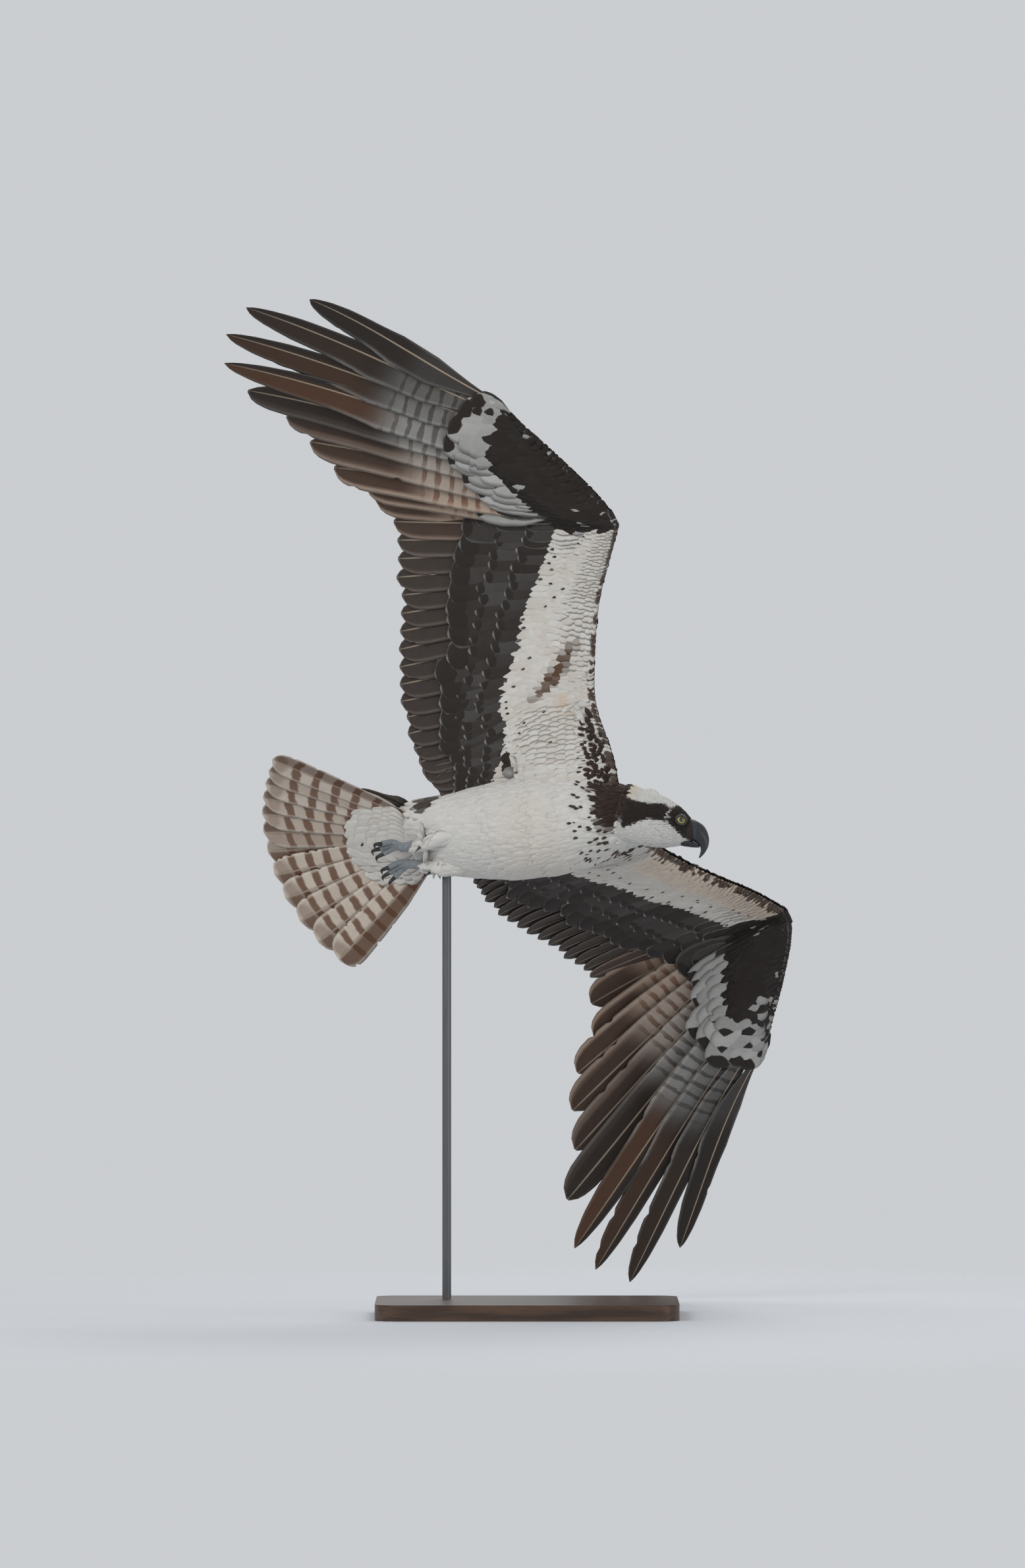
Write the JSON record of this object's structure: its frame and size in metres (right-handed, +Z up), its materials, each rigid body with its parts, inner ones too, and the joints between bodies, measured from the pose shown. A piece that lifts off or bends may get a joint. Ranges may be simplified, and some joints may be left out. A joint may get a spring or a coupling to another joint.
{
  "type": "osprey model on a display stand",
  "caption": "Life-size still osprey banking in flight with wings spread and tail fanned, held by one rod on a flat base.",
  "frame": {"origin": "centre of the underside of the stand's base", "axes": "+Z up; -Y towards the viewer who sees the belly; +X the way the bird flies, which heads a little towards that viewer"},
  "size_m": [0.6405, 0.692, 1.1345],
  "materials": {
    "white_plumage": "matte",
    "wing_feathers": "satin",
    "tail_feathers": "satin",
    "bill": "gloss",
    "eye": "polished",
    "feet": "satin",
    "stand_wood": "satin",
    "stand_steel": "satin"
  },
  "bodies": {
    "root": {"torso": "white_plumage", "neck": "white_plumage", "head": "white_plumage", "bill_upper": "bill", "bill_lower": "bill", "eye_right": "eye", "eye_left": "eye", "wing_arm_right": "wing_feathers", "wing_arm_left": "wing_feathers", "wing_hand_right": "wing_feathers", "wing_hand_left": "wing_feathers", "tail": "tail_feathers", "leg_right": "white_plumage", "leg_left": "white_plumage", "foot_right": "feet", "foot_left": "feet", "stand_base": "stand_wood", "stand_rod": "stand_steel"}
  },
  "joints": []
}
